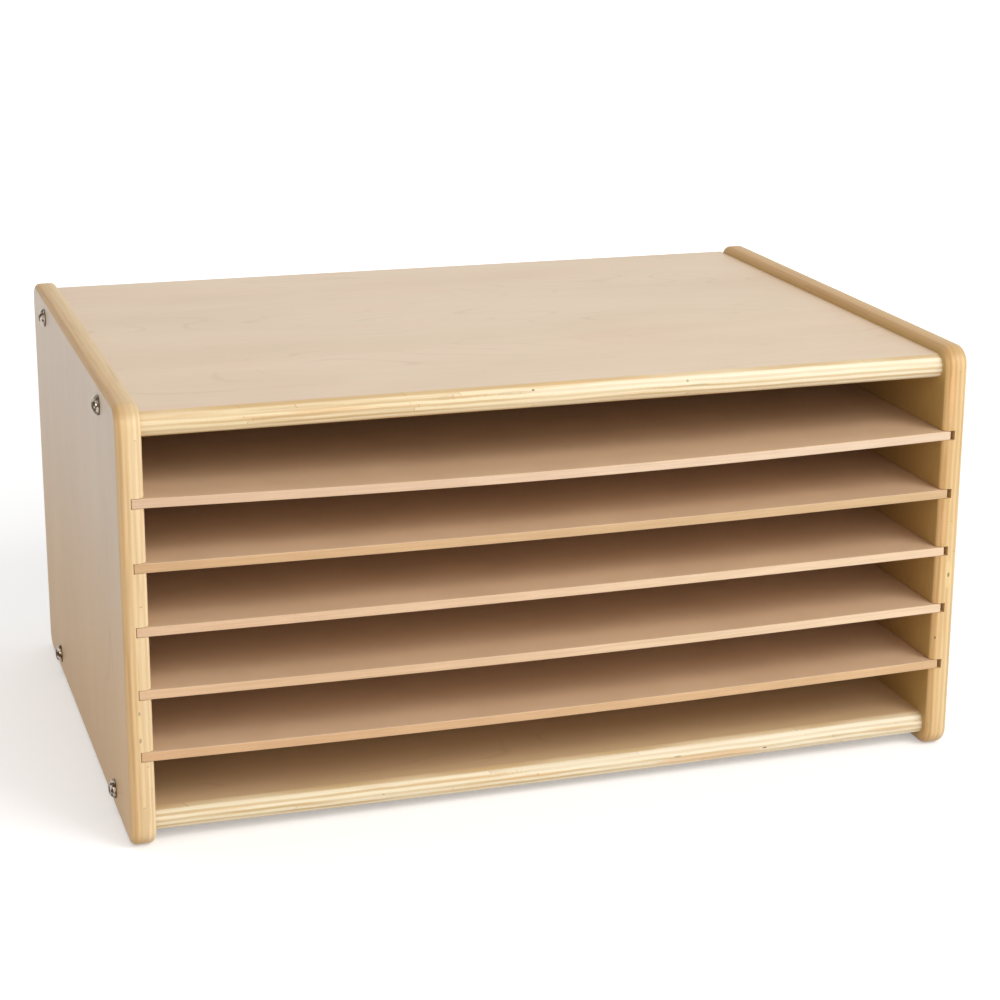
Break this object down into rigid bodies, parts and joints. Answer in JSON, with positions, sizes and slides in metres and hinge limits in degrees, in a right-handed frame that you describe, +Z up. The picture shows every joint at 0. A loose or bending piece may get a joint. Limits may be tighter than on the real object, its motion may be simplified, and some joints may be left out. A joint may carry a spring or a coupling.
{
  "type": "paper storage rack",
  "caption": "Low open-fronted plywood rack for flat paper, with thin loose shelves in slotted sides, a rounded top and bottom deck and bolts through the sides.",
  "frame": {"origin": "centre of the footprint, on the surface that the rack stands on", "axes": "+X to the right along the width, +Y from the open front to the back, +Z up"},
  "size_m": [0.521, 0.355, 0.2585],
  "materials": {
    "birch_plywood": "satin clear lacquer",
    "thin_board": "smooth matt",
    "bolt_steel": "nickel plated",
    "nut_steel": "zinc plated"
  },
  "bodies": {
    "rack": {"left_side_panel": "birch_plywood", "right_side_panel": "birch_plywood", "top_deck": "birch_plywood", "bottom_deck": "birch_plywood", "back_board": "thin_board", "bolt_left_top_front": "bolt_steel", "bolt_left_top_rear": "bolt_steel", "bolt_left_bottom_front": "bolt_steel", "bolt_left_bottom_rear": "bolt_steel", "bolt_right_top_front": "bolt_steel", "bolt_right_top_rear": "bolt_steel", "bolt_right_bottom_front": "bolt_steel", "bolt_right_bottom_rear": "bolt_steel", "barrel_nut_left_top_front": "nut_steel", "barrel_nut_left_top_rear": "nut_steel", "barrel_nut_left_bottom_front": "nut_steel", "barrel_nut_left_bottom_rear": "nut_steel", "barrel_nut_right_top_front": "nut_steel", "barrel_nut_right_top_rear": "nut_steel", "barrel_nut_right_bottom_front": "nut_steel", "barrel_nut_right_bottom_rear": "nut_steel"},
    "shelf_1": {"shelf_1": "thin_board"},
    "shelf_2": {"shelf_2": "thin_board"},
    "shelf_3": {"shelf_3": "thin_board"},
    "shelf_4": {"shelf_4": "thin_board"},
    "shelf_5": {"shelf_5": "thin_board"}
  },
  "joints": [
    {"name": "shelf_1_slide", "type": "slide", "parent": "rack", "child": "shelf_1", "axis": [0, -1, 0], "range_m": [0, 0.325]},
    {"name": "shelf_2_slide", "type": "slide", "parent": "rack", "child": "shelf_2", "axis": [0, -1, 0], "range_m": [0, 0.325]},
    {"name": "shelf_3_slide", "type": "slide", "parent": "rack", "child": "shelf_3", "axis": [0, -1, 0], "range_m": [0, 0.325]},
    {"name": "shelf_4_slide", "type": "slide", "parent": "rack", "child": "shelf_4", "axis": [0, -1, 0], "range_m": [0, 0.325]},
    {"name": "shelf_5_slide", "type": "slide", "parent": "rack", "child": "shelf_5", "axis": [0, -1, 0], "range_m": [0, 0.325]}
  ]
}
